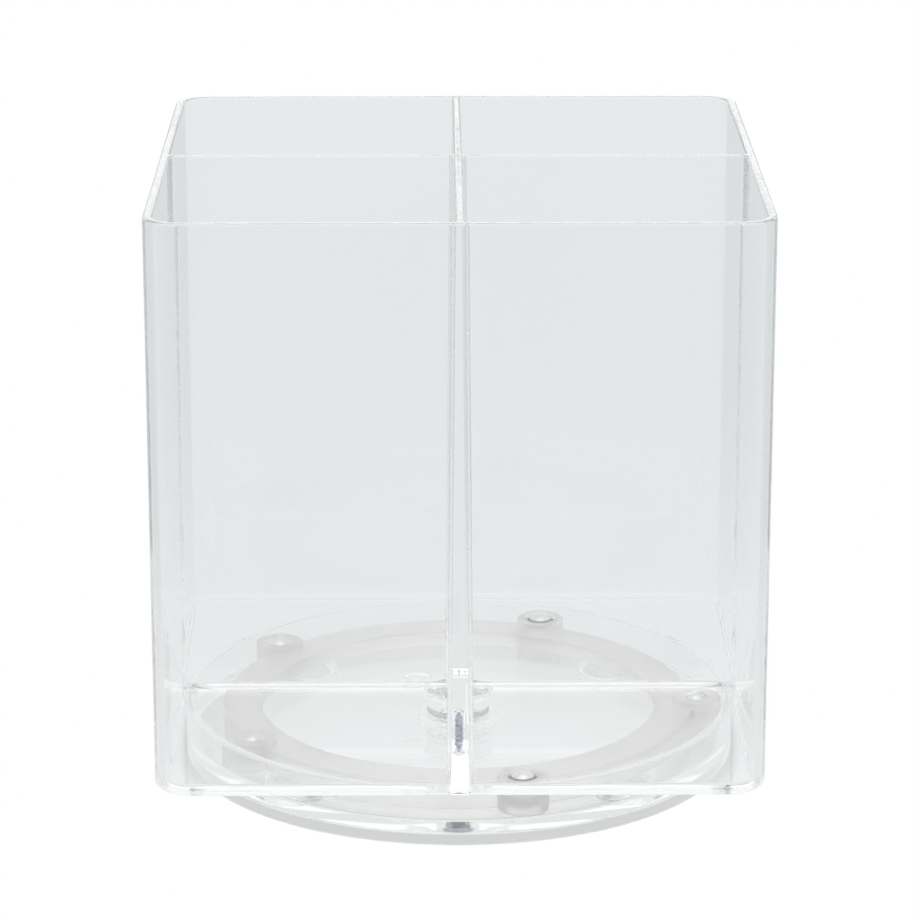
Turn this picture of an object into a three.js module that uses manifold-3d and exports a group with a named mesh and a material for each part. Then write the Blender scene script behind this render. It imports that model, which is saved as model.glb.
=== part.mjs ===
// Rotating tool storage caddy: a clear square box with four compartments that turns on a clear round
// dish, on a ring of five steel balls. Millimetres, +Z up, origin on the table under the pivot axis.
// +X is to the right and the front of the box faces -Y.

import * as THREE from 'three';
import { mergeVertices } from 'three/addons/utils/BufferGeometryUtils.js';
import Module from 'manifold-3d';

const wasm = await Module();
wasm.setup();

// ---- Driving dimensions ----

// Caddy box: one moulding with its dividers and hub.
const BOX_SIDE = 152;
const BOX_BOTTOM = 14.8;
const BOX_TOP = 160.4;
const WALL = 2.4;
const FLOOR = 2.4;
const DIVIDER_TOP = 2;
const DIVIDER_FOOT = 4.5;
const CORNER_R = 9.6;
const BOTTOM_EDGE_R = 2;
const INNER_FILLET = 1.2;
const FOOT_FILLET = 0.8;

// Hub under the box's floor, with the pilot hole for the pivot screw.
const HUB_R = 8.6;
const HUB_BOTTOM = 10.25;
const PILOT_R = 2.05;
const PILOT_TOP = 21.4;

// Shallow dimple where the moulding was gated, beside the hub.
const GATE_X = -10.9;
const GATE_Y = 8.7;
const GATE_R = 3.6;
const GATE_DEPTH = 0.8;

// Base dish: a slab with an upright rim wall that goes on below it as a foot ring, and a centre boss with
// a collar below.
const DISH_BOTTOM = 0.4;
const SLAB_BOTTOM = 3.4;
const DISH_FLOOR = 6.1;
const DISH_R = 72.5;
const DISH_WALL = 2.4;
const DISH_TOP = 14.3;
const DISH_EDGE = 0.5;
const BOSS_R = 10.1;
const BOSS_TOP = 8;
const BOSS_BORE_R = 3.35;
const COUNTERBORE_R = 5.6;
const COUNTERBORE_TOP = 5.1;
const COLLAR_R = 8;
const COLLAR_BOTTOM = 1;

// Anti-slip pads, let into round feet under the dish's slab.
const PAD_COUNT = 4;
const PAD_CIRCLE_R = 58;
const PAD_R = 6;
const PAD_TOP = 1.2;
const FOOT_R = 7.8;
const PAD_RECESS_R = 6.3;
const PAD_RECESS_TOP = 1.4;

// Balls and their circle. The first ball sits a little in front of the +X axis.
const BALL_COUNT = 5;
const BALL_R = 4.12;
const BALL_Z = 10.43;
const BALL_CIRCLE_R = 63.2;
const FIRST_BALL_DEG = -3.6;

// Ball retainer: a channel section open downwards, with a sleeve round each ball.
const RING_TOP = 11.9;
const RING_PLATE = 1.6;
const RING_INNER_R = 52.1;
const RING_INNER_WALL = 1.5;
const RING_INNER_BOTTOM = 7.9;
const RING_OUTER_R = 62.1;
const RING_OUTER_WALL = 1.6;
const RING_OUTER_BOTTOM = 6.4;
const SLEEVE_R = 6.4;
const SLEEVE_BOTTOM = 6.6;
const SLEEVE_TOP = 13.6;
const BALL_CLEARANCE = 0.25;

// Pivot stack, from the table up: screw head, washer, flanged bush, hub.
const SCREW_HEAD_R = 4;
const SCREW_HEAD_BOTTOM = 1.5;
const SCREW_HEAD_TOP = 3.9;
const SCREW_R = 1.8;
const SCREW_CONE_START = 18.4;
const SCREW_TIP = 20.9;
const SCREW_TIP_R = 0.3;
const RECESS_LENGTH = 4.4;
const RECESS_WIDTH = 1;
const RECESS_DEPTH = 1.3;
const WASHER_R = 5;
const WASHER_HOLE_R = 2.2;
const WASHER_BOTTOM = 4;
const WASHER_TOP = 4.8;
const BUSH_R = 3.1;
const BUSH_HOLE_R = 2.1;
const BUSH_BOTTOM = 4.9;
const FLANGE_R = 8.2;
const FLANGE_BOTTOM = 8.3;
const FLANGE_TOP = 10.15;

// Facets on round shapes.
const LARGE_SIDES = 64;
const SMALL_SIDES = 28;
const POCKET_SIDES = 24;
const POCKET_DOME_STEPS = 4;
const CORNER_STEPS = 8;
const FILLET_STEPS = 3;

// ---- Materials ----

const clearPlastic = new THREE.MeshStandardMaterial({
  color: 0xe6ecee, roughness: 0.05, metalness: 0, transparent: true, opacity: 0.3,
});
const retainerPlastic = new THREE.MeshStandardMaterial({ color: 0xe4e0d2, roughness: 0.45, metalness: 0 });
const nylon = new THREE.MeshStandardMaterial({ color: 0xe8e4d6, roughness: 0.4, metalness: 0 });
const polishedSteel = new THREE.MeshStandardMaterial({ color: 0xc8cacc, roughness: 0.12, metalness: 1 });
const platedSteel = new THREE.MeshStandardMaterial({ color: 0xb4b8be, roughness: 0.25, metalness: 1 });
const padRubber = new THREE.MeshStandardMaterial({ color: 0xd6dada, roughness: 0.6, metalness: 0 });

// ---- Solids and booleans ----

// Six times the signed volume of a closed indexed mesh: negative when its faces point inwards.
function signedVolume(positions, triangles) {
  const corner = [new THREE.Vector3(), new THREE.Vector3(), new THREE.Vector3()];
  let sum = 0;
  for (let i = 0; i < triangles.length; i += 3) {
    corner.forEach((point, k) => point.fromArray(positions, 3 * triangles[i + k]));
    sum += corner[0].dot(corner[1].clone().cross(corner[2]));
  }
  return sum;
}

// A closed geometry as a manifold solid, with its faces turned outwards.
function solid(geometry) {
  const bare = geometry.clone();
  bare.deleteAttribute('normal');
  bare.deleteAttribute('uv');
  const merged = mergeVertices(bare, 1e-5);
  const vertProperties = new Float32Array(merged.attributes.position.array);
  const triVerts = new Uint32Array(merged.index.array);
  if (signedVolume(vertProperties, triVerts) < 0) {
    for (let i = 0; i < triVerts.length; i += 3) {
      [triVerts[i], triVerts[i + 1]] = [triVerts[i + 1], triVerts[i]];
    }
  }
  const mesh = new wasm.Mesh({ numProp: 3, vertProperties, triVerts });
  mesh.merge();
  return new wasm.Manifold(mesh);
}

// A manifold solid as a three.js geometry.
function toGeometry(body) {
  const mesh = body.getMesh();
  const geometry = new THREE.BufferGeometry();
  geometry.setAttribute('position', new THREE.BufferAttribute(new Float32Array(mesh.vertProperties), 3));
  geometry.setIndex(new THREE.BufferAttribute(new Uint32Array(mesh.triVerts), 1));
  geometry.computeVertexNormals();
  return geometry;
}

// A solid of revolution about Z from [radius, height] points, listed once round the section.
function revolve(section, sides) {
  const points = section.map(([r, z]) => new THREE.Vector2(r, z));
  points.push(points[0].clone());
  const geometry = new THREE.LatheGeometry(points, sides);
  geometry.rotateX(Math.PI / 2);
  return solid(geometry);
}

// An upright round bar or disc, centred on (x, y).
function disc(radius, bottom, top, x = 0, y = 0, sides = SMALL_SIDES) {
  const geometry = new THREE.CylinderGeometry(radius, radius, top - bottom, sides);
  geometry.rotateX(Math.PI / 2);
  geometry.translate(x, y, (top + bottom) / 2);
  return solid(geometry);
}

// An upright block between two corners.
function block([x0, y0, z0], [x1, y1, z1]) {
  const geometry = new THREE.BoxGeometry(x1 - x0, y1 - y0, z1 - z0);
  geometry.translate((x0 + x1) / 2, (y0 + y1) / 2, (z0 + z1) / 2);
  return solid(geometry);
}

// A rectangle's outline with one radius for each corner, anticlockwise from (x0, y0).
function roundedRectangle(x0, y0, x1, y1, [r00, r10, r11, r01], steps) {
  const outline = [];
  const corners = [
    [x0 + r00, y0 + r00, r00, 180],
    [x1 - r10, y0 + r10, r10, 270],
    [x1 - r11, y1 - r11, r11, 0],
    [x0 + r01, y1 - r01, r01, 90],
  ];
  for (const [cx, cy, radius, startDeg] of corners) {
    const count = radius > INNER_FILLET ? steps : FILLET_STEPS;
    for (let i = 0; i <= count; i += 1) {
      const angle = THREE.MathUtils.degToRad(startDeg + (90 * i) / count);
      outline.push(new THREE.Vector2(cx + radius * Math.cos(angle), cy + radius * Math.sin(angle)));
    }
  }
  return new THREE.Shape(outline);
}

// A prism from z = bottom to top whose two ends are rounded over by edge. The function move, if given,
// shifts each of its points.
function roundedPrism(shape, bottom, top, edge, move) {
  const geometry = new THREE.ExtrudeGeometry(shape, {
    depth: top - bottom - 2 * edge,
    bevelEnabled: true,
    bevelThickness: edge,
    bevelSize: edge,
    bevelOffset: -edge,
    bevelSegments: FILLET_STEPS,
  });
  geometry.translate(0, 0, bottom + edge);
  if (move) {
    const points = geometry.attributes.position;
    const point = new THREE.Vector3();
    for (let i = 0; i < points.count; i += 1) {
      move(point.fromBufferAttribute(points, i));
      points.setXYZ(i, point.x, point.y, point.z);
    }
  }
  return solid(geometry);
}

// Places on a circle about Z, as [x, y].
function around(count, radius, startDeg) {
  return Array.from({ length: count }, (_, i) => {
    const angle = THREE.MathUtils.degToRad(startDeg + (360 * i) / count);
    return [radius * Math.cos(angle), radius * Math.sin(angle)];
  });
}

// ---- Sub-parts ----

// Outer block, four compartments cut out of it, the hub added below and the pilot hole drilled.
function caddyBox() {
  const half = BOX_SIDE / 2;
  const above = BOX_TOP + 10;
  const corners = Array(4).fill(CORNER_R);
  const outline = roundedRectangle(-half, -half, half, half, corners, CORNER_STEPS);
  let body = roundedPrism(outline, BOX_BOTTOM, above, BOTTOM_EDGE_R)
    .subtract(block([-half - 1, -half - 1, BOX_TOP], [half + 1, half + 1, above + 1]));

  // One compartment in the +X +Y quarter, turned into each of the others. It shrinks towards its outer
  // corner on the way down, so the dividers get thicker towards the foot and the outer walls stay even.
  const innerR = CORNER_R - WALL;
  const low = DIVIDER_TOP / 2;
  const high = half - WALL;
  const floorTop = BOX_BOTTOM + FLOOR;
  const shrink = (DIVIDER_FOOT - DIVIDER_TOP) / 2 / (high - low) / (BOX_TOP - floorTop);
  const draft = (point) => {
    const scale = 1 - shrink * (BOX_TOP - point.z);
    point.x = high + (point.x - high) * scale;
    point.y = high + (point.y - high) * scale;
  };
  const radii = [INNER_FILLET, INNER_FILLET, innerR, INNER_FILLET];
  const quarter = roundedRectangle(low, low, high, high, radii, CORNER_STEPS);
  const compartment = roundedPrism(quarter, floorTop, above, FOOT_FILLET, draft);
  for (let turn = 0; turn < 4; turn += 1) {
    body = body.subtract(compartment.rotate([0, 0, 90 * turn]));
  }

  body = body.add(disc(HUB_R, HUB_BOTTOM, BOX_BOTTOM + FLOOR / 2));
  body = body.subtract(disc(PILOT_R, HUB_BOTTOM - 1, PILOT_TOP));
  return body.subtract(disc(GATE_R, BOX_BOTTOM - 1, BOX_BOTTOM + GATE_DEPTH, GATE_X, GATE_Y));
}

// Slab, rim wall, foot ring and boss in one section, with four feet below that hold the pads.
function baseDish() {
  const innerR = DISH_R - DISH_WALL;
  let body = revolve([
    [COUNTERBORE_R, COLLAR_BOTTOM],
    [COLLAR_R, COLLAR_BOTTOM],
    [COLLAR_R, SLAB_BOTTOM],
    [innerR, SLAB_BOTTOM],
    [innerR, DISH_BOTTOM],
    [DISH_R - DISH_EDGE, DISH_BOTTOM],
    [DISH_R, DISH_BOTTOM + DISH_EDGE],
    [DISH_R, DISH_TOP],
    [innerR, DISH_TOP],
    [innerR, DISH_FLOOR],
    [BOSS_R, DISH_FLOOR],
    [BOSS_R, BOSS_TOP],
    [BOSS_BORE_R, BOSS_TOP],
    [BOSS_BORE_R, COUNTERBORE_TOP],
    [COUNTERBORE_R, COUNTERBORE_TOP],
  ], LARGE_SIDES);
  for (const [x, y] of around(PAD_COUNT, PAD_CIRCLE_R, 45)) {
    body = body.add(disc(FOOT_R, DISH_BOTTOM, (SLAB_BOTTOM + DISH_FLOOR) / 2, x, y));
    body = body.subtract(disc(PAD_RECESS_R, DISH_BOTTOM - 1, PAD_RECESS_TOP, x, y));
  }
  return body;
}

// Channel ring with a sleeve round each ball. Each sleeve is a cup, open below and with a mouth on top
// that is smaller than the ball, so the ball stands a little proud and can't drop out upwards.
function ballRetainer() {
  const plateBottom = RING_TOP - RING_PLATE;
  let body = revolve([
    [RING_INNER_R, RING_INNER_BOTTOM],
    [RING_INNER_R + RING_INNER_WALL, RING_INNER_BOTTOM],
    [RING_INNER_R + RING_INNER_WALL, plateBottom],
    [RING_OUTER_R - RING_OUTER_WALL, plateBottom],
    [RING_OUTER_R - RING_OUTER_WALL, RING_OUTER_BOTTOM],
    [RING_OUTER_R, RING_OUTER_BOTTOM],
    [RING_OUTER_R, RING_TOP],
    [RING_INNER_R, RING_TOP],
  ], LARGE_SIDES);
  const places = around(BALL_COUNT, BALL_CIRCLE_R, FIRST_BALL_DEG);
  for (const [x, y] of places) {
    body = body.add(disc(SLEEVE_R, SLEEVE_BOTTOM, SLEEVE_TOP, x, y, POCKET_SIDES));
  }

  // The pocket is a bore with a half-round end that follows the ball.
  const pocketR = BALL_R + BALL_CLEARANCE;
  const section = [[0, RING_OUTER_BOTTOM - 1], [pocketR, RING_OUTER_BOTTOM - 1]];
  for (let i = 0; i < POCKET_DOME_STEPS; i += 1) {
    const angle = (Math.PI / 2) * (i / POCKET_DOME_STEPS);
    section.push([pocketR * Math.cos(angle), BALL_Z + pocketR * Math.sin(angle)]);
  }
  section.push([0, BALL_Z + pocketR]);
  const pocket = revolve(section, POCKET_SIDES);
  for (const [x, y] of places) {
    body = body.subtract(pocket.translate([x, y, 0]));
  }
  return body;
}

// Pan head with a cross recess below, and a shank that tapers to a blunt tip inside the hub.
function pivotScrew() {
  const crown = 0.8;
  const body = revolve([
    [0, SCREW_HEAD_BOTTOM],
    [SCREW_HEAD_R - crown, SCREW_HEAD_BOTTOM],
    [SCREW_HEAD_R, SCREW_HEAD_BOTTOM + crown],
    [SCREW_HEAD_R, SCREW_HEAD_TOP],
    [SCREW_R, SCREW_HEAD_TOP],
    [SCREW_R, SCREW_CONE_START],
    [SCREW_TIP_R, SCREW_TIP],
    [0, SCREW_TIP],
  ], SMALL_SIDES);
  const long = RECESS_LENGTH / 2;
  const short = RECESS_WIDTH / 2;
  const recessTop = SCREW_HEAD_BOTTOM + RECESS_DEPTH;
  const bar = block([-long, -short, SCREW_HEAD_BOTTOM - 1], [long, short, recessTop]);
  return body.subtract(bar).subtract(bar.rotate([0, 0, 90]));
}

function screwWasher() {
  return revolve([
    [WASHER_HOLE_R, WASHER_BOTTOM],
    [WASHER_R, WASHER_BOTTOM],
    [WASHER_R, WASHER_TOP],
    [WASHER_HOLE_R, WASHER_TOP],
  ], SMALL_SIDES);
}

// Sleeve round the screw, with a flange that the hub rests on.
function pivotBush() {
  return revolve([
    [BUSH_HOLE_R, BUSH_BOTTOM],
    [BUSH_R, BUSH_BOTTOM],
    [BUSH_R, FLANGE_BOTTOM],
    [FLANGE_R, FLANGE_BOTTOM],
    [FLANGE_R, FLANGE_TOP],
    [BUSH_HOLE_R, FLANGE_TOP],
  ], SMALL_SIDES);
}

// ---- Assembly ----

const caddy = new THREE.Group();

function addPart(name, geometry, material, x = 0, y = 0, z = 0) {
  const mesh = new THREE.Mesh(geometry, material);
  mesh.name = name;
  mesh.position.set(x, y, z);
  caddy.add(mesh);
  return mesh;
}

addPart('base_dish', toGeometry(baseDish()), clearPlastic);
around(PAD_COUNT, PAD_CIRCLE_R, 45).forEach(([x, y], i) => {
  addPart(`rubber_pad_${i + 1}`, toGeometry(disc(PAD_R, 0, PAD_TOP)), padRubber, x, y);
});
addPart('ball_retainer', toGeometry(ballRetainer()), retainerPlastic);
around(BALL_COUNT, BALL_CIRCLE_R, FIRST_BALL_DEG).forEach(([x, y], i) => {
  const ball = toGeometry(solid(new THREE.IcosahedronGeometry(BALL_R, 3)));
  addPart(`ball_${i + 1}`, ball, polishedSteel, x, y, BALL_Z);
});
addPart('pivot_screw', toGeometry(pivotScrew()), platedSteel);
addPart('screw_washer', toGeometry(screwWasher()), platedSteel);
addPart('pivot_bush', toGeometry(pivotBush()), nylon);
addPart('caddy_box', toGeometry(caddyBox()), clearPlastic);

export default caddy;
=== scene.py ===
"""Looks of the rotating tool storage caddy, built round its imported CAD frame. Metres, +Z up.

Sections are written in millimetres, because the real parts are drawn that way, and turned into metres
when a mesh is made.
"""

import math

import bmesh
import bpy
from mathutils import Matrix, Vector
from mathutils.geometry import tessellate_polygon


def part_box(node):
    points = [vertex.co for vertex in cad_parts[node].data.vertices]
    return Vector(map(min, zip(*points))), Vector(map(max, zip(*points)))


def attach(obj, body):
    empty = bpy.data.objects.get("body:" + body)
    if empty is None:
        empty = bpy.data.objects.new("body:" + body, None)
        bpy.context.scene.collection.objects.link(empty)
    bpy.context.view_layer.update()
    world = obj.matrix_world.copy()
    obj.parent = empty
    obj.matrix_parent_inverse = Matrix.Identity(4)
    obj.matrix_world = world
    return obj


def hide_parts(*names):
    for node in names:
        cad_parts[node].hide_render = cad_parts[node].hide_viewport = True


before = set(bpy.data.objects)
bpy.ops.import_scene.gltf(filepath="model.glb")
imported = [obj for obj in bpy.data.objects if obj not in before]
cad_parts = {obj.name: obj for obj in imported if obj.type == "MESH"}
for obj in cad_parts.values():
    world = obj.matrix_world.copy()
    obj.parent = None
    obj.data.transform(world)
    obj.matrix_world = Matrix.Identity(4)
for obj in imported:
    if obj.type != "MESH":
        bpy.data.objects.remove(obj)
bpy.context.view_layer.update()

MM = 0.001


def node_box(node):
    """Lowest and highest corner of a CAD node, in millimetres."""
    low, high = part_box(node)
    return low / MM, high / MM


# ---- Driving dimensions, in millimetres ----

BOX_LOW, BOX_HIGH = node_box("caddy_box")
DISH_LOW, DISH_HIGH = node_box("base_dish")
RING_LOW, RING_HIGH = node_box("ball_retainer")
PAD_LOW, PAD_HIGH = node_box("rubber_pad_1")
SCREW_LOW, SCREW_HIGH = node_box("pivot_screw")
WASHER_LOW, WASHER_HIGH = node_box("screw_washer")
BUSH_LOW, BUSH_HIGH = node_box("pivot_bush")

# Box: the hub hangs below its underside.
HUB_BOTTOM = BOX_LOW.z
HUB_LENGTH = 4.55
HUB_R = 8.6
HUB_ROOT_FILLET = 0.7
BOX_BOTTOM = HUB_BOTTOM + HUB_LENGTH
BOX_TOP = BOX_HIGH.z
BOX_HALF = BOX_HIGH.x
WALL = 2.4
FLOOR = 2.4
DIVIDER_TOP = 2.0
DIVIDER_FOOT = 4.5
CORNER_R = 9.6
BOTTOM_EDGE_R = 2.0
INNER_CORNER_R = 1.2
FOOT_FILLET = 0.9
RIM_ROUND = 0.75
PILOT_R = 2.0
PILOT_MOUTH_R = 2.2
PILOT_TOP = 21.3
GATE_PLACE = (-10.9, 8.7)
GATE_R = 3.6
GATE_DEPTH = 0.8
GATE_NUB_R = 0.9
GATE_NUB_HEIGHT = 0.45

# Dish: a slab whose rim wall goes on below it as a foot ring, and a centre boss with a collar below.
DISH_BOTTOM = DISH_LOW.z
DISH_TOP = DISH_HIGH.z
DISH_R = DISH_HIGH.x
SLAB_BOTTOM = DISH_BOTTOM + 3.0
DISH_FLOOR = DISH_BOTTOM + 5.7
DISH_WALL = 2.4
DISH_EDGE_R = 0.8
DISH_RIM_R = 0.6
DISH_FILLET = 1.2
BOSS_R = 10.1
BOSS_TOP = 8.0
BOSS_BORE_R = 3.35
COUNTERBORE_R = 5.6
COUNTERBORE_TOP = 5.1
COLLAR_R = 8.0
COLLAR_BOTTOM = 1.0
FOOT_R = 7.8
UNDERSIDE_FILLET = 0.6
PAD_RECESS_R = 6.3
PAD_RECESS_TOP = 1.4

# Retainer ring: a channel open downwards, with a sleeve round each ball.
RING_TOP = 11.9
RING_PLATE = 1.6
RING_INNER_R = 52.1
RING_INNER_WALL = 1.5
RING_INNER_BOTTOM = 7.9
RING_OUTER_R = 62.1
RING_OUTER_WALL = 1.6
RING_OUTER_BOTTOM = RING_LOW.z
RING_EDGE_R = 0.35
SLEEVE_R = 6.4
SLEEVE_BOTTOM = 6.6
SLEEVE_TOP = RING_HIGH.z
POCKET_R = 4.45
BALL_R = 4.3
BALLS = ("a", "b", "c", "d", "e")

# Screw: a coarse thread in the hub's pilot hole.
THREAD_CREST_R = 1.93
THREAD_ROOT_R = 1.5
THREAD_PITCH = 1.35
THREAD_STEP = 0.09
SCREW_NECK_R = 1.75
SCREW_NECK_LENGTH = 4.6
SCREW_HEAD_HEIGHT = 2.4
SCREW_TAPER_LENGTH = 3.0

# Washer and bush
WASHER_HOLE_R = 2.2
BUSH_HOLE_R = 2.1
BUSH_SLEEVE_R = 3.1
BUSH_FLANGE = 1.85

# Facets
LARGE_SIDES = 256
MEDIUM_SIDES = 96
CORNER_STEPS = 20
FILLET_STEPS = 8


# ---- Mesh helpers ----

def arc(centre_r, centre_z, radius, start_deg, end_deg, steps=FILLET_STEPS):
    """Points (r, z) of a round stretch of a section."""
    points = []
    for i in range(steps + 1):
        angle = math.radians(start_deg + (end_deg - start_deg) * i / steps)
        points.append((centre_r + radius * math.cos(angle), centre_z + radius * math.sin(angle)))
    return points


def ring(bm, radius, z, sides, centre=(0.0, 0.0)):
    """A horizontal circle of vertices."""
    turn = 2 * math.pi / sides
    return [
        bm.verts.new((
            (centre[0] + radius * math.cos(turn * i)) * MM,
            (centre[1] + radius * math.sin(turn * i)) * MM,
            z * MM,
        ))
        for i in range(sides)
    ]


def bridge(bm, lower, upper):
    """Quads between two loops with the same number of vertices."""
    count = len(lower)
    for i in range(count):
        j = (i + 1) % count
        bm.faces.new((lower[i], lower[j], upper[j], upper[i]))


def skin(bm, loops, closed=False):
    """Quads from each loop to the next, and from the last to the first where closed."""
    for lower, upper in zip(loops, loops[1:]):
        bridge(bm, lower, upper)
    if closed:
        bridge(bm, loops[-1], loops[0])
    return loops


def cap(bm, *loops):
    """A flat face inside the first loop, with a hole for each other loop."""
    if len(loops) == 1:
        bm.faces.new(loops[0])
        return
    corners = [vertex for loop in loops for vertex in loop]
    for triangle in tessellate_polygon([[vertex.co for vertex in loop] for loop in loops]):
        bm.faces.new([corners[i] for i in triangle])


def circles(bm, section, sides, centre=(0.0, 0.0)):
    """One circle for each (r, z) of a section, joined by quads."""
    return skin(bm, [ring(bm, r, z, sides, centre) for r, z in section])


def finish_mesh(name, bm):
    """An object of a finished bmesh: faces outward, smooth, with flats that stay flat."""
    bmesh.ops.recalc_face_normals(bm, faces=bm.faces)
    for face in bm.faces:
        face.smooth = True
    mesh = bpy.data.meshes.new(name)
    bm.to_mesh(mesh)
    bm.free()
    piece = bpy.data.objects.new(name, mesh)
    bpy.context.scene.collection.objects.link(piece)
    return piece


def keep_flats(piece, sharp_deg=50.0):
    """Fillets shade smoothly into faces that stay flat, and edges sharper than sharp_deg stay sharp."""
    piece.data.set_sharp_from_angle(angle=math.radians(sharp_deg))
    modifier = piece.modifiers.new("flats_stay_flat", "WEIGHTED_NORMAL")
    modifier.mode = "FACE_AREA"
    modifier.weight = 100
    modifier.keep_sharp = True
    return piece


def lathe(name, section, sides, centre=(0.0, 0.0)):
    """A solid of revolution from a closed (r, z) section that doesn't touch the axis."""
    bm = bmesh.new()
    loops = [ring(bm, r, z, sides, centre) for r, z in section]
    skin(bm, loops, closed=True)
    return finish_mesh(name, bm)


def capped_lathe(name, section, sides, centre=(0.0, 0.0)):
    """A solid of revolution whose first and last circles are filled."""
    bm = bmesh.new()
    loops = circles(bm, section, sides, centre)
    cap(bm, loops[0])
    cap(bm, loops[-1])
    return finish_mesh(name, bm)


def apply_boolean(piece, tool, operation):
    """Joins tool to piece or cuts it away, and removes tool."""
    modifier = piece.modifiers.new("boolean", "BOOLEAN")
    modifier.operation = operation
    modifier.solver = "EXACT"
    modifier.object = tool
    bpy.context.view_layer.update()
    graph = bpy.context.evaluated_depsgraph_get()
    mesh = bpy.data.meshes.new_from_object(piece.evaluated_get(graph))
    piece.modifiers.clear()
    old = piece.data
    piece.data = mesh
    mesh.name = piece.name
    bpy.data.meshes.remove(old)
    bpy.data.objects.remove(tool)


def rounded_rectangle(x0, y0, x1, y1, radii, steps, grow=0.0):
    """Outline of a rectangle with a radius at each corner, anticlockwise from (x0, y0), grown by grow."""
    corners = (
        (x0 + radii[0], y0 + radii[0], 180),
        (x1 - radii[1], y0 + radii[1], 270),
        (x1 - radii[2], y1 - radii[2], 0),
        (x0 + radii[3], y1 - radii[3], 90),
    )
    points = []
    for (cx, cy, start), radius, count in zip(corners, radii, steps):
        for i in range(count + 1):
            angle = math.radians(start + 90 * i / count)
            reach = radius + grow
            points.append((cx + reach * math.cos(angle), cy + reach * math.sin(angle)))
    return points


def outline_loop(bm, points, z):
    return [bm.verts.new((x * MM, y * MM, z * MM)) for x, y in points]


# ---- Material helpers ----

def new_material(name, **values):
    """A Principled material with these input values, and its node tree."""
    material = bpy.data.materials.new(name)
    material.use_nodes = True
    shader = material.node_tree.nodes["Principled BSDF"]
    for key, value in values.items():
        shader.inputs[key.replace("_", " ")].default_value = value
    return material, material.node_tree, shader


def noise(tree, scale, detail=2.0, roughness=0.5, stretch=None):
    """Noise in the object's own space, with scale in features per metre."""
    coordinates = tree.nodes.new("ShaderNodeTexCoord")
    texture = tree.nodes.new("ShaderNodeTexNoise")
    texture.inputs["Scale"].default_value = scale
    texture.inputs["Detail"].default_value = detail
    texture.inputs["Roughness"].default_value = roughness
    source = coordinates.outputs["Object"]
    if stretch:
        mapping = tree.nodes.new("ShaderNodeMapping")
        mapping.inputs["Scale"].default_value = stretch
        tree.links.new(source, mapping.inputs["Vector"])
        source = mapping.outputs["Vector"]
    tree.links.new(source, texture.inputs["Vector"])
    return texture.outputs["Fac"]


def vary(tree, source, target, low, high, span=(0.3, 0.7)):
    """Lets a 0 to 1 pattern move a value between low and high."""
    ranged = tree.nodes.new("ShaderNodeMapRange")
    ranged.inputs["From Min"].default_value = span[0]
    ranged.inputs["From Max"].default_value = span[1]
    ranged.inputs["To Min"].default_value = low
    ranged.inputs["To Max"].default_value = high
    tree.links.new(source, ranged.inputs["Value"])
    tree.links.new(ranged.outputs["Result"], target)


def vary_colour(tree, source, target, first, second, span=(0.35, 0.65)):
    """Lets a 0 to 1 pattern move a colour from first to second."""
    ramp = tree.nodes.new("ShaderNodeValToRGB")
    ramp.color_ramp.elements[0].position = span[0]
    ramp.color_ramp.elements[0].color = (*first, 1.0)
    ramp.color_ramp.elements[1].position = span[1]
    ramp.color_ramp.elements[1].color = (*second, 1.0)
    tree.links.new(source, ramp.inputs["Fac"])
    tree.links.new(ramp.outputs["Color"], target)


def bump(tree, shader, source, strength, distance):
    """Relief from a 0 to 1 pattern, distance metres deep at full strength."""
    relief = tree.nodes.new("ShaderNodeBump")
    relief.inputs["Strength"].default_value = strength
    relief.inputs["Distance"].default_value = distance
    tree.links.new(source, relief.inputs["Height"])
    tree.links.new(relief.outputs["Normal"], shader.inputs["Normal"])


def let_lamps_through(tree, shader):
    """Lamps and sky light reach what is behind a clear wall."""
    nodes, links = tree.nodes, tree.links
    path = nodes.new("ShaderNodeLightPath")
    clear = nodes.new("ShaderNodeBsdfTransparent")
    mix = nodes.new("ShaderNodeMixShader")
    links.new(path.outputs["Is Shadow Ray"], mix.inputs[0])
    links.new(shader.outputs["BSDF"], mix.inputs[1])
    links.new(clear.outputs["BSDF"], mix.inputs[2])
    links.new(mix.outputs["Shader"], nodes["Material Output"].inputs["Surface"])


# ---- Materials ----

def clear_polystyrene(name, tint):
    """Polished crystal polystyrene with faint flow waves and a few soft rub marks."""
    material, tree, shader = new_material(
        name, IOR=1.585, Transmission_Weight=1.0, Roughness=0.0,
    )
    flow = noise(tree, 14.0, detail=1.0)
    darker = tuple(0.995 * value for value in tint)
    vary_colour(tree, flow, shader.inputs["Base Color"], darker, tint)
    rubs = noise(tree, 420.0, detail=5.0, roughness=0.7, stretch=(1.0, 1.0, 0.12))
    vary(tree, rubs, shader.inputs["Roughness"], 0.0, 0.02, span=(0.62, 0.8))
    waves = noise(tree, 55.0, detail=1.5)
    bump(tree, shader, waves, 0.05, 0.0002)
    let_lamps_through(tree, shader)
    haze = tree.nodes.new("ShaderNodeVolumeAbsorption")
    haze.inputs["Color"].default_value = (0.88, 0.90, 0.90, 1.0)
    haze.inputs["Density"].default_value = 2.5
    tree.links.new(haze.outputs["Volume"], tree.nodes["Material Output"].inputs["Volume"])
    return material


def satin_polypropylene():
    """Natural polypropylene: milky, half see-through, satin, with a fine spark-eroded grain."""
    material, tree, shader = new_material(
        "retainer_satin_plastic", IOR=1.49, Transmission_Weight=0.93,
    )
    mottle = noise(tree, 90.0, detail=3.0)
    vary_colour(tree, mottle, shader.inputs["Base Color"], (0.965, 0.959, 0.935), (0.985, 0.98, 0.96))
    vary(tree, mottle, shader.inputs["Roughness"], 0.28, 0.38)
    grain = noise(tree, 2600.0, detail=2.0)
    bump(tree, shader, grain, 0.25, 0.00004)
    let_lamps_through(tree, shader)
    return material


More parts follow.
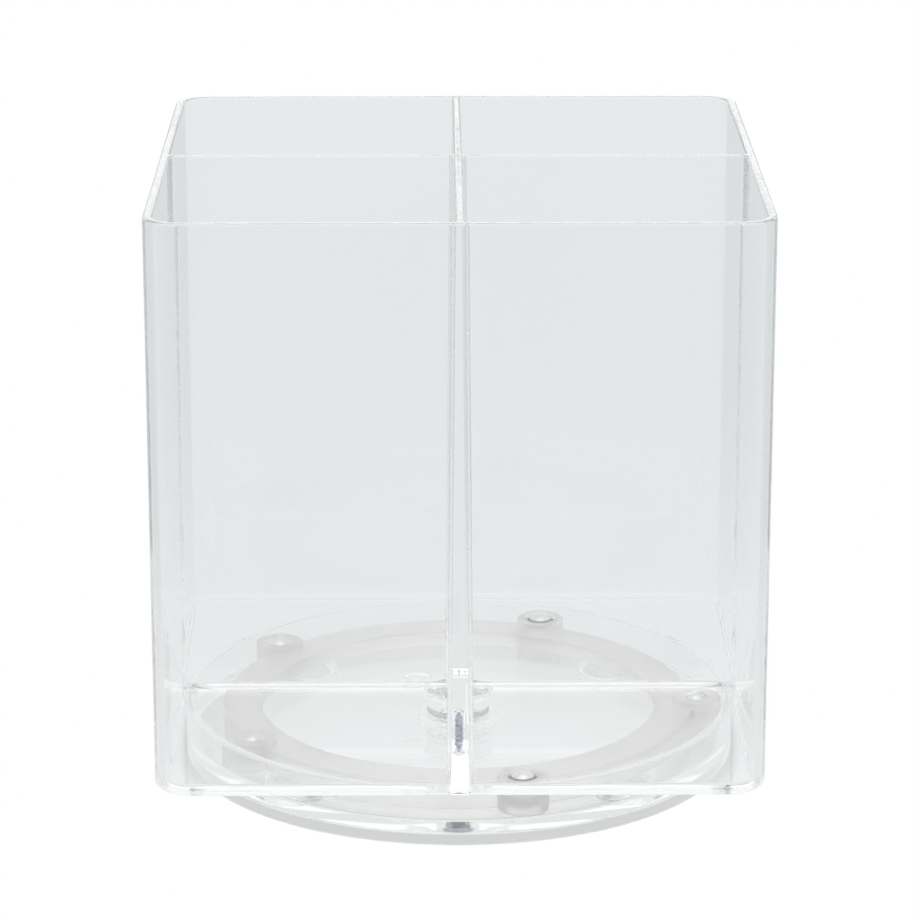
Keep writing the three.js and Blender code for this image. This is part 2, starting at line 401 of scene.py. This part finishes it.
def natural_nylon():
    """Turned nylon: ivory, waxy, with rings left by the tool."""
    material, tree, shader = new_material(
        "bush_nylon_waxy", IOR=1.53, Transmission_Weight=0.88, Coat_Weight=0.15, Coat_Roughness=0.3,
    )
    cloud = noise(tree, 220.0, detail=3.0)
    vary_colour(tree, cloud, shader.inputs["Base Color"], (0.91, 0.905, 0.88), (0.95, 0.945, 0.925))
    vary(tree, cloud, shader.inputs["Roughness"], 0.22, 0.34)
    turning = noise(tree, 500.0, detail=1.0, stretch=(0.2, 0.2, 9.0))
    bump(tree, shader, turning, 0.3, 0.00003)
    return material


def bearing_steel():
    """Polished bearing steel with fine lapping scratches and a faint bluish cast."""
    material, tree, shader = new_material("ball_polished_steel", Metallic=1.0)
    cast = noise(tree, 160.0, detail=2.0)
    vary_colour(tree, cast, shader.inputs["Base Color"], (0.70, 0.70, 0.70), (0.78, 0.78, 0.775))
    lapping = noise(tree, 1500.0, detail=6.0, roughness=0.75, stretch=(1.0, 6.0, 1.0))
    vary(tree, lapping, shader.inputs["Roughness"], 0.10, 0.2)
    bump(tree, shader, lapping, 0.06, 0.00002)
    return material


def zinc_plate():
    """Bright blue-passivated zinc over steel, a little uneven."""
    material, tree, shader = new_material("screw_blue_zinc", Metallic=1.0)
    patches = noise(tree, 700.0, detail=4.0, roughness=0.6)
    vary_colour(tree, patches, shader.inputs["Base Color"], (0.36, 0.39, 0.47), (0.66, 0.68, 0.73))
    vary(tree, patches, shader.inputs["Roughness"], 0.08, 0.2)
    grain = noise(tree, 5200.0, detail=3.0)
    bump(tree, shader, grain, 0.2, 0.00002)
    return material


def clear_rubber():
    """Water-clear silicone pad, dulled by a fine matt mould face and a little dust."""
    material, tree, shader = new_material(
        "pad_clear_rubber", IOR=1.43, Transmission_Weight=0.85,
    )
    dust = noise(tree, 900.0, detail=5.0, roughness=0.7)
    vary_colour(tree, dust, shader.inputs["Base Color"], (0.90, 0.91, 0.91), (0.84, 0.85, 0.85))
    vary(tree, dust, shader.inputs["Roughness"], 0.3, 0.5)
    grain = noise(tree, 3800.0, detail=2.0)
    bump(tree, shader, grain, 0.2, 0.00003)
    let_lamps_through(tree, shader)
    return material


BOX_PLASTIC = clear_polystyrene("box_clear_polystyrene", (0.995, 0.998, 0.999))
DISH_PLASTIC = clear_polystyrene("dish_clear_polystyrene", (0.994, 0.997, 0.998))
RETAINER_PLASTIC = satin_polypropylene()
NYLON = natural_nylon()
STEEL = bearing_steel()
ZINC = zinc_plate()
RUBBER = clear_rubber()


def hand_over(piece, material, body, slot, *nodes):
    """Gives a finished piece its material and its body, and hides the CAD nodes it stands for. The slot is
    not used.
    """
    piece.data.materials.clear()
    piece.data.materials.append(material)
    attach(piece, body)
    if nodes:
        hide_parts(*nodes)
    return piece


# ---- Pieces ----

def outer_shell(bm):
    """Bottom edge, four walls and the outer half of the rim. Returns the lowest and highest loops."""
    radii = [CORNER_R] * 4
    steps = [CORNER_STEPS] * 4
    profile = []
    for i in range(FILLET_STEPS + 1):
        angle = math.radians(90 * i / FILLET_STEPS)
        inset = BOTTOM_EDGE_R * (1 - math.sin(angle))
        profile.append((-inset, BOX_BOTTOM + BOTTOM_EDGE_R * (1 - math.cos(angle))))
    for i in range(FILLET_STEPS + 1):
        angle = math.radians(90 * i / FILLET_STEPS)
        inset = RIM_ROUND * (1 - math.cos(angle))
        profile.append((-inset, BOX_TOP - RIM_ROUND * (1 - math.sin(angle))))
    loops = []
    for grow, z in profile:
        points = rounded_rectangle(-BOX_HALF, -BOX_HALF, BOX_HALF, BOX_HALF, radii, steps, grow)
        loops.append(outline_loop(bm, points, z))
    skin(bm, loops)
    return loops[0], loops[-1]


def compartment(bm, quarter):
    """Floor, foot fillet, walls and rounded mouth of one compartment. Returns its highest loop.

    It shrinks towards its outer corner on the way down, so the dividers are thicker at the foot."""
    low = DIVIDER_TOP / 2
    high = BOX_HALF - WALL
    radii = [INNER_CORNER_R, INNER_CORNER_R, CORNER_R - WALL, INNER_CORNER_R]
    steps = [FILLET_STEPS, FILLET_STEPS, CORNER_STEPS, FILLET_STEPS]
    floor_top = BOX_BOTTOM + FLOOR
    profile = []
    for i in range(FILLET_STEPS + 1):
        angle = math.radians(90 * i / FILLET_STEPS)
        inset = FOOT_FILLET * (1 - math.sin(angle))
        profile.append((-inset, floor_top + FOOT_FILLET * (1 - math.cos(angle))))
    for i in range(FILLET_STEPS + 1):
        angle = math.radians(90 * i / FILLET_STEPS)
        spread = RIM_ROUND * (1 - math.cos(angle))
        profile.append((spread, BOX_TOP - RIM_ROUND * (1 - math.sin(angle))))
    turn = Matrix.Rotation(math.radians(90 * quarter), 2)
    outer_corner = Vector((high, high))
    shrink = (DIVIDER_FOOT - DIVIDER_TOP) / 2 / (high - low) / (BOX_TOP - floor_top)
    loops = []
    for grow, z in profile:
        scale = 1 - shrink * (BOX_TOP - z)
        points = rounded_rectangle(low, low, high, high, radii, steps, grow)
        placed = [turn @ outer_corner.lerp(Vector(point), scale) for point in points]
        loops.append(outline_loop(bm, placed, z))
    skin(bm, loops)
    cap(bm, loops[0])
    return loops[-1]


def hub(bm):
    """Hub and pilot hole below the crossing of the dividers. Returns the circle where it meets the box."""
    edge = 0.35
    mouth = PILOT_MOUTH_R + edge
    section = arc(HUB_R + HUB_ROOT_FILLET, BOX_BOTTOM - HUB_ROOT_FILLET, HUB_ROOT_FILLET, 90, 180)
    section += arc(HUB_R - edge, HUB_BOTTOM + edge, edge, 0, -90, 4)
    section += arc(mouth, HUB_BOTTOM + edge, edge, -90, -180, 4)
    section += [
        (PILOT_R, HUB_BOTTOM + 1.6),
        (PILOT_R, PILOT_TOP - 1.4),
        (0.9 * PILOT_R, PILOT_TOP - 0.9),
        (0.25 * PILOT_R, PILOT_TOP),
    ]
    loops = circles(bm, section, MEDIUM_SIDES)
    cap(bm, loops[-1])
    return loops[0]


def gate_dimple(bm):
    """Round dimple with the nub left where the moulding was gated. Returns its mouth."""
    edge = 0.2
    roof = BOX_BOTTOM + GATE_DEPTH
    section = arc(GATE_R + edge, BOX_BOTTOM + edge, edge, -90, -180, 4)
    section += arc(GATE_R - edge, roof - edge, edge, 0, 90, 4)
    section += [
        (GATE_NUB_R + 0.1, roof),
        (GATE_NUB_R, roof - 0.1),
        (0.8 * GATE_NUB_R, roof - GATE_NUB_HEIGHT),
        (0.6 * GATE_NUB_R, roof - GATE_NUB_HEIGHT - 0.05),
    ]
    loops = circles(bm, section, 48, GATE_PLACE)
    cap(bm, loops[-1])
    return loops[0]


def make_box():
    """The caddy box as the one clear moulding it is, dividers, floor and hub included."""
    bm = bmesh.new()
    bottom, rim = outer_shell(bm)
    mouths = [compartment(bm, quarter) for quarter in range(4)]
    cap(bm, rim, *mouths)
    cap(bm, bottom, hub(bm), gate_dimple(bm))
    box = keep_flats(finish_mesh("clear_box_moulding", bm))
    return hand_over(box, BOX_PLASTIC, "caddy", "clear_plastic_box", "caddy_box")


def pad_places():
    """Centre of each pad, from the CAD."""
    for i in range(1, 5):
        low, high = node_box(f"rubber_pad_{i}")
        yield i, ((low.x + high.x) / 2, (low.y + high.y) / 2)


def make_dish():
    """Base dish: one lathe section, closed by an underside with a round foot for each pad."""
    bm = bmesh.new()
    inner_r = DISH_R - DISH_WALL
    edge = 0.3
    root = UNDERSIDE_FILLET
    section = arc(inner_r - root, SLAB_BOTTOM - root, root, 90, 0, 5)
    section += arc(inner_r + edge, DISH_BOTTOM + edge, edge, 180, 270, 4)
    section += arc(DISH_R - DISH_EDGE_R, DISH_BOTTOM + DISH_EDGE_R, DISH_EDGE_R, -90, 0)
    section += arc(DISH_R - DISH_RIM_R, DISH_TOP - DISH_RIM_R, DISH_RIM_R, 0, 90)
    section += arc(inner_r + DISH_RIM_R, DISH_TOP - DISH_RIM_R, DISH_RIM_R, 90, 180)
    section += arc(inner_r - DISH_FILLET, DISH_FLOOR + DISH_FILLET, DISH_FILLET, 0, -90)
    section += arc(BOSS_R + DISH_FILLET, DISH_FLOOR + DISH_FILLET, DISH_FILLET, -90, -180)
    section += arc(BOSS_R - edge, BOSS_TOP - edge, edge, 0, 90, 4)
    section += arc(BOSS_BORE_R + edge, BOSS_TOP - edge, edge, 90, 180, 4)
    section += [(BOSS_BORE_R, COUNTERBORE_TOP)]
    section += arc(COUNTERBORE_R - edge, COUNTERBORE_TOP - edge, edge, 90, 0, 4)
    section += arc(COUNTERBORE_R + edge, COLLAR_BOTTOM + edge, edge, 180, 270, 4)
    section += arc(COLLAR_R - edge, COLLAR_BOTTOM + edge, edge, -90, 0, 4)
    section += arc(COLLAR_R + root, SLAB_BOTTOM - root, root, 180, 90, 5)
    loops = circles(bm, section, LARGE_SIDES)
    feet = []
    for _, place in pad_places():
        foot = arc(FOOT_R + root, SLAB_BOTTOM - root, root, 90, 180, 5)
        foot += arc(FOOT_R - edge, DISH_BOTTOM + edge, edge, 0, -90, 4)
        foot += arc(PAD_RECESS_R + 0.15, DISH_BOTTOM + 0.15, 0.15, -90, -180, 3)
        foot += arc(PAD_RECESS_R - 0.2, PAD_RECESS_TOP - 0.2, 0.2, 0, 90, 3)
        walls = circles(bm, foot, 64, place)
        cap(bm, walls[-1])
        feet.append(walls[0])
    cap(bm, loops[0], loops[-1], *feet)
    dish = keep_flats(finish_mesh("clear_base_dish", bm))
    return hand_over(dish, DISH_PLASTIC, "base", "clear_plastic_base", "base_dish")


def make_pads():
    """Clear pads with a soft edge, a slightly hollow face and a shallow rim groove."""
    for number, place in pad_places():
        radius = (PAD_HIGH.x - PAD_LOW.x) / 2
        top = PAD_HIGH.z
        section = [(0.3, 0.12), (radius - 1.8, 0.1), (radius - 1.1, 0.02)]
        section += arc(radius - 0.35, 0.35, 0.35, -90, 0, 6)
        section += arc(radius - 0.2, top - 0.2, 0.2, 0, 90, 4)
        section += [(0.3, top)]
        pad = capped_lathe(f"clear_pad_{number}", section, 48, place)
        keep_flats(pad)
        hand_over(pad, RUBBER, "base", "pad_rubber", f"rubber_pad_{number}")


def ball_places():
    """Body letter, node and centre of each ball, from the CAD."""
    for number, letter in enumerate(BALLS, 1):
        node = f"ball_{number}"
        low, high = node_box(node)
        yield letter, node, (low + high) / 2


def make_balls():
    """Bearing balls: cubes subdivided and pushed out to a sphere, so their faces are even all over."""
    for letter, node, centre in ball_places():
        bm = bmesh.new()
        bmesh.ops.create_cube(bm, size=1.0)
        bmesh.ops.subdivide_edges(bm, edges=bm.edges, cuts=23, use_grid_fill=True)
        for vertex in bm.verts:
            # The equal-angle spread keeps the faces near the cube's corners from bunching up.
            even = Vector([math.tan(axis * math.pi / 2) for axis in vertex.co])
            vertex.co = centre * MM + even.normalized() * BALL_R * MM
        ball = finish_mesh(f"steel_ball_{letter}", bm)
        hand_over(ball, STEEL, f"ball_{letter}", "ball_steel", node)


def make_retainer():
    """Retainer ring with rounded edges, a sleeve joined on at each ball and the ball pockets cut out."""
    edge = RING_EDGE_R
    plate_bottom = RING_TOP - RING_PLATE
    inner_face = RING_INNER_R + RING_INNER_WALL
    outer_face = RING_OUTER_R - RING_OUTER_WALL
    lip = RING_INNER_WALL / 2
    section = arc(RING_INNER_R + lip, RING_INNER_BOTTOM + lip, lip, 180, 360, 12)
    section += arc(inner_face + edge, plate_bottom - edge, edge, 180, 90, 4)
    section += arc(outer_face - edge, plate_bottom - edge, edge, 90, 0, 4)
    section += arc(outer_face + edge, RING_OUTER_BOTTOM + edge, edge, 180, 270, 4)
    section += arc(RING_OUTER_R - edge, RING_OUTER_BOTTOM + edge, edge, -90, 0, 4)
    section += arc(RING_OUTER_R - edge, RING_TOP - edge, edge, 0, 90, 4)
    section += arc(RING_INNER_R + edge, RING_TOP - edge, edge, 90, 180, 4)
    retainer = lathe("satin_ball_retainer", section, LARGE_SIDES)

    sleeve = [(0.5, SLEEVE_BOTTOM)]
    sleeve += arc(SLEEVE_R - edge, SLEEVE_BOTTOM + edge, edge, -90, 0, 4)
    sleeve += arc(SLEEVE_R - edge, SLEEVE_TOP - edge, edge, 0, 90, 4)
    sleeve += [(0.5, SLEEVE_TOP)]
    for letter, _, centre in ball_places():
        tool = capped_lathe(f"sleeve_{letter}", sleeve, 72, (centre.x, centre.y))
        apply_boolean(retainer, tool, "UNION")
    for letter, _, centre in ball_places():
        pocket = [(0.5, SLEEVE_BOTTOM - 1), (POCKET_R, SLEEVE_BOTTOM - 1)]
        pocket += arc(0, centre.z, POCKET_R, 0, 84, 18)
        tool = capped_lathe(f"pocket_{letter}", pocket, 72, (centre.x, centre.y))
        apply_boolean(retainer, tool, "DIFFERENCE")
    keep_flats(retainer, 30.0)
    hand_over(retainer, RETAINER_PLASTIC, "retainer", "retainer_plastic", "ball_retainer")


def thread_radius(z, turn, start, taper):
    """Radius of a single-start thread at height z and turn (0 to 1) round the axis."""
    phase = ((z - start) / THREAD_PITCH - turn) % 1.0
    crest = max(0.0, 1.0 - abs(phase - 0.5) / 0.3)
    rise = min(1.0, max(0.0, (z - start) / THREAD_PITCH))
    radius = THREAD_ROOT_R + (THREAD_CREST_R - THREAD_ROOT_R) * crest * rise
    return radius * taper


def make_screw():
    """Self-tapping screw: pan head with a cross recess, plain neck, coarse thread and a tapered tip."""
    head_r = SCREW_HIGH.x
    head_bottom = SCREW_LOW.z
    head_top = head_bottom + SCREW_HEAD_HEIGHT
    tip = SCREW_HIGH.z
    crown = 0.95
    thread_start = head_top + SCREW_NECK_LENGTH
    taper_start = tip - SCREW_TAPER_LENGTH
    sides = 64
    bm = bmesh.new()
    section = [(0.4, head_bottom), (head_r - 1.7, head_bottom + 0.06)]
    section += arc(head_r - crown, head_bottom + crown, crown, -75, 0)
    section += arc(head_r - 0.2, head_top - 0.2, 0.2, 0, 90, 3)
    section += arc(SCREW_NECK_R + 0.3, head_top + 0.3, 0.3, -90, -180, 4)
    section += [(SCREW_NECK_R, thread_start - 0.5), (THREAD_ROOT_R, thread_start)]
    loops = [ring(bm, r, z, sides) for r, z in section]
    steps = int((tip - thread_start) / THREAD_STEP)
    for step in range(1, steps + 1):
        z = thread_start + (tip - thread_start) * step / steps
        taper = 1.0 - 0.86 * max(0.0, (z - taper_start) / (tip - taper_start)) ** 1.3
        loop = []
        for i in range(sides):
            radius = thread_radius(z, i / sides, thread_start, taper)
            angle = 2 * math.pi * i / sides
            loop.append(bm.verts.new((radius * math.cos(angle) * MM, radius * math.sin(angle) * MM, z * MM)))
        loops.append(loop)
    skin(bm, loops)
    cap(bm, loops[0])
    cap(bm, loops[-1])
    screw = finish_mesh("zinc_pivot_screw", bm)

    # Cross recess: two tapered wings that meet over a small cone.
    for quarter in range(2):
        bm = bmesh.new()
        across = Matrix.Rotation(math.radians(90 * quarter), 2)
        wing = []
        for half_long, half_wide, z in ((2.2, 0.5, head_bottom - 0.5), (1.1, 0.36, head_bottom + 1.4)):
            points = rounded_rectangle(-half_long, -half_wide, half_long, half_wide, [0.3] * 4, [3] * 4)
            wing.append(outline_loop(bm, [across @ Vector(point) for point in points], z))
        skin(bm, wing)
        cap(bm, wing[0])
        cap(bm, wing[-1])
        apply_boolean(screw, finish_mesh(f"cross_wing_{quarter}", bm), "DIFFERENCE")
    screw.data.set_sharp_from_angle(angle=math.radians(50))
    hand_over(screw, ZINC, "caddy", "screw_steel", "pivot_screw")


def make_washer():
    """Punched washer: rolled over on the side the punch came from, sharp with a small burr on the other."""
    outer = WASHER_HIGH.x
    hole = WASHER_HOLE_R
    low, high = WASHER_LOW.z, WASHER_HIGH.z
    section = arc(outer - 0.22, low + 0.22, 0.22, -90, 0, 5)
    section += [(outer, high - 0.06), (outer - 0.06, high)]
    section += [(hole + 0.05, high), (hole, high - 0.05)]
    section += arc(hole + 0.18, low + 0.18, 0.18, 180, 270, 5)
    washer = keep_flats(lathe("zinc_washer", section, 72))
    hand_over(washer, ZINC, "caddy", "screw_steel", "screw_washer")


def make_bush():
    """Flanged nylon bush with chamfered mouths and a groove round its flange."""
    flange_r = BUSH_HIGH.x
    low, high = BUSH_LOW.z, BUSH_HIGH.z
    flange_low = high - BUSH_FLANGE
    hole = BUSH_HOLE_R
    sleeve = BUSH_SLEEVE_R
    edge = 0.25
    section = [(hole + 0.25, low), (sleeve - 0.3, low), (sleeve, low + 0.4)]
    section += arc(sleeve + edge, flange_low - edge, edge, 180, 90, 4)
    section += arc(flange_r - edge, flange_low + edge, edge, -90, 0, 4)
    section += [
        (flange_r, flange_low + 0.8),
        (flange_r - 0.15, flange_low + 0.95),
        (flange_r, flange_low + 1.1),
    ]
    section += arc(flange_r - edge, high - edge, edge, 0, 90, 4)
    section += [(hole + 0.3, high), (hole, high - 0.3), (hole, low + 0.25)]
    bush = keep_flats(lathe("nylon_pivot_bush", section, MEDIUM_SIDES))
    hand_over(bush, NYLON, "caddy", "bush_nylon", "pivot_bush")


make_box()
make_dish()
make_pads()
make_balls()
make_retainer()
make_screw()
make_washer()
make_bush()


# ---- Stage: pale table, studio tent and soft lamps ----

TABLE_R = 9.0
TABLE_DROP = 0.00005
TABLE_WHITE = (1.0, 1.0, 1.0)
TENT_TONE = (0.817, 0.832, 0.838)
SHADE_TONE = (0.71, 0.73, 0.742)
# Painted shade: the table's glow is darker in a ring under the dish's foot ring, between these radii in
# metres.
PAINTED_CONTACT_SHADE_TONE = (0.63, 0.635, 0.635)
PAINTED_CONTACT_SHADE_RADII = (0.057, 0.061, 0.073, 0.078)
SHADE_FROM = 0.04
SHADE_TO = 0.36

# Glow of the tent at rising heights, from 0 at the horizon to 1 overhead: a wide panel low down, a narrower
# one above it and a softer roof.
HORIZON_GLOW = (0.62, 0.64, 0.65)
PANEL_GLOW = (
    (0.17, 1.30),
    (0.26, 1.30),
    (0.32, 0.85),
    (0.345, 0.85),
    (0.362, 1.12),
    (0.42, 1.05),
    (0.52, 0.88),
)
ROOF_GLOW = (0.88, 0.88, 0.875)


SOFTBOX_PLACE = (0.0, -0.1, 1.5)
SOFTBOX_SIZE = 1.2
SOFTBOX_WATTS = 2.5

CAMERA_PLACE = (-0.00711, -0.98910, 0.37719)
CAMERA_SENSOR = 36.0
CAMERA_LENS = 154.89
LOOK_DOWN_DEG = 16.77
TURN_RIGHT_DEG = 0.441
WALL_BOUNCES = 96


def table_material():
    """White table that glows by itself instead of being lit. Seen directly it is overexposed to white, as in
    the studio. Seen through clear plastic it keeps its pale grey, with a painted contact shade ring under
    the dish's foot ring, and seen in a reflection it falls off away from the object."""
    material = bpy.data.materials.new("pale_table")
    material.use_nodes = True
    tree = material.node_tree
    nodes, links = tree.nodes, tree.links
    nodes.remove(nodes["Principled BSDF"])
    glow = nodes.new("ShaderNodeEmission")
    path = nodes.new("ShaderNodeLightPath")
    place = nodes.new("ShaderNodeTexCoord")
    distance = nodes.new("ShaderNodeVectorMath")
    distance.operation = "LENGTH"
    links.new(place.outputs["Object"], distance.inputs[0])
    falloff = nodes.new("ShaderNodeMapRange")
    falloff.interpolation_type = "SMOOTHSTEP"
    falloff.inputs["From Min"].default_value = SHADE_FROM
    falloff.inputs["From Max"].default_value = SHADE_TO
    links.new(distance.outputs["Value"], falloff.inputs["Value"])
    reflected = nodes.new("ShaderNodeMix")
    reflected.data_type = "RGBA"
    reflected.inputs["A"].default_value = (*TENT_TONE, 1.0)
    reflected.inputs["B"].default_value = (*SHADE_TONE, 1.0)
    links.new(falloff.outputs["Result"], reflected.inputs["Factor"])

    # Painted contact shade: a darker ring of the table's glow runs round under the dish's foot ring, in
    # place of a real shadow.
    scaled = nodes.new("ShaderNodeMath")
    scaled.operation = "DIVIDE"
    scaled.inputs[1].default_value = SHADE_TO
    links.new(distance.outputs["Value"], scaled.inputs[0])
    painted_contact_shade = nodes.new("ShaderNodeValToRGB")
    stops = painted_contact_shade.color_ramp.elements
    stops[0].color = (*TENT_TONE, 1.0)
    stops[1].color = (*TENT_TONE, 1.0)
    for radius, tone in zip(PAINTED_CONTACT_SHADE_RADII, (TENT_TONE, PAINTED_CONTACT_SHADE_TONE, PAINTED_CONTACT_SHADE_TONE, TENT_TONE)):
        stops.new(radius / SHADE_TO).color = (*tone, 1.0)
    links.new(scaled.outputs["Value"], painted_contact_shade.inputs["Fac"])

    bounced = nodes.new("ShaderNodeMath")
    bounced.operation = "GREATER_THAN"
    bounced.inputs[1].default_value = 0.5
    links.new(path.outputs["Glossy Depth"], bounced.inputs[0])
    through = nodes.new("ShaderNodeMix")
    through.data_type = "RGBA"
    links.new(painted_contact_shade.outputs["Color"], through.inputs["A"])
    links.new(bounced.outputs["Value"], through.inputs["Factor"])
    links.new(reflected.outputs["Result"], through.inputs["B"])
    seen = nodes.new("ShaderNodeMix")
    seen.data_type = "RGBA"
    seen.inputs["B"].default_value = (*TABLE_WHITE, 1.0)
    links.new(path.outputs["Is Camera Ray"], seen.inputs["Factor"])
    links.new(through.outputs["Result"], seen.inputs["A"])
    links.new(seen.outputs["Result"], glow.inputs["Color"])
    links.new(glow.outputs["Emission"], nodes["Material Output"].inputs["Surface"])
    return material


def make_table():
    bm = bmesh.new()
    bmesh.ops.create_circle(bm, cap_ends=True, segments=96, radius=TABLE_R)
    mesh = bpy.data.meshes.new("table")
    bm.to_mesh(mesh)
    bm.free()
    table = bpy.data.objects.new("table", mesh)
    table.location.z = -TABLE_DROP
    mesh.materials.append(table_material())
    bpy.context.scene.collection.objects.link(table)


def make_tent():
    """Studio tent: dim near the horizon, bright in its panels, and plain white where the camera sees it."""
    world = bpy.data.worlds.new("studio_tent")
    bpy.context.scene.world = world
    world.use_nodes = True
    tree = world.node_tree
    nodes, links = tree.nodes, tree.links
    background = nodes["Background"]
    direction = nodes.new("ShaderNodeTexCoord")
    split = nodes.new("ShaderNodeSeparateXYZ")
    links.new(direction.outputs["Generated"], split.inputs["Vector"])
    ramp = nodes.new("ShaderNodeValToRGB")
    ramp.color_ramp.interpolation = "EASE"
    stops = ramp.color_ramp.elements
    stops[0].color = (*HORIZON_GLOW, 1.0)
    stops[1].color = (*ROOF_GLOW, 1.0)
    for height, glow in PANEL_GLOW:
        stops.new(height).color = (glow, glow, glow, 1.0)
    links.new(split.outputs["Z"], ramp.inputs["Fac"])
    path = nodes.new("ShaderNodeLightPath")
    seen = nodes.new("ShaderNodeMix")
    seen.data_type = "RGBA"
    seen.inputs["B"].default_value = (1.0, 1.0, 1.0, 1.0)
    links.new(path.outputs["Is Camera Ray"], seen.inputs["Factor"])
    links.new(ramp.outputs["Color"], seen.inputs["A"])
    links.new(seen.outputs["Result"], background.inputs["Color"])


def make_lamp(name, place, size, watts, target=(0.0, 0.0, 0.08)):
    """A square soft box at place, facing target."""
    lamp = bpy.data.lights.new(name, "AREA")
    lamp.shape = "SQUARE"
    lamp.size = size
    lamp.energy = watts
    holder = bpy.data.objects.new(name, lamp)
    holder.location = place
    facing = Vector(target) - Vector(place)
    holder.rotation_mode = "QUATERNION"
    holder.rotation_quaternion = facing.to_track_quat("-Z", "Y")
    bpy.context.scene.collection.objects.link(holder)
    return holder


def make_camera():
    """Camera at the viewing angle of the real product shot: about a metre away, looking down at the box."""
    data = bpy.data.cameras.new("camera")
    data.sensor_width = CAMERA_SENSOR
    data.lens = CAMERA_LENS
    data.clip_start = 0.05
    data.clip_end = 40.0
    camera = bpy.data.objects.new("camera", data)
    camera.location = CAMERA_PLACE
    look_down = math.radians(LOOK_DOWN_DEG)
    turn_right = math.radians(TURN_RIGHT_DEG)
    camera.rotation_euler = (math.pi / 2 - look_down, 0.0, -turn_right)
    bpy.context.scene.collection.objects.link(camera)
    bpy.context.scene.camera = camera


make_table()
make_tent()
make_lamp("overhead_softbox", SOFTBOX_PLACE, SOFTBOX_SIZE, SOFTBOX_WATTS)
make_camera()

scene = bpy.context.scene
scene.view_settings.view_transform = "Standard"
# Light that is caught in a clear wall needs this many bounces to come out again.
scene.cycles.max_bounces = WALL_BOUNCES
scene.cycles.transmission_bounces = WALL_BOUNCES
scene.cycles.transparent_max_bounces = 32
scene.cycles.glossy_bounces = WALL_BOUNCES
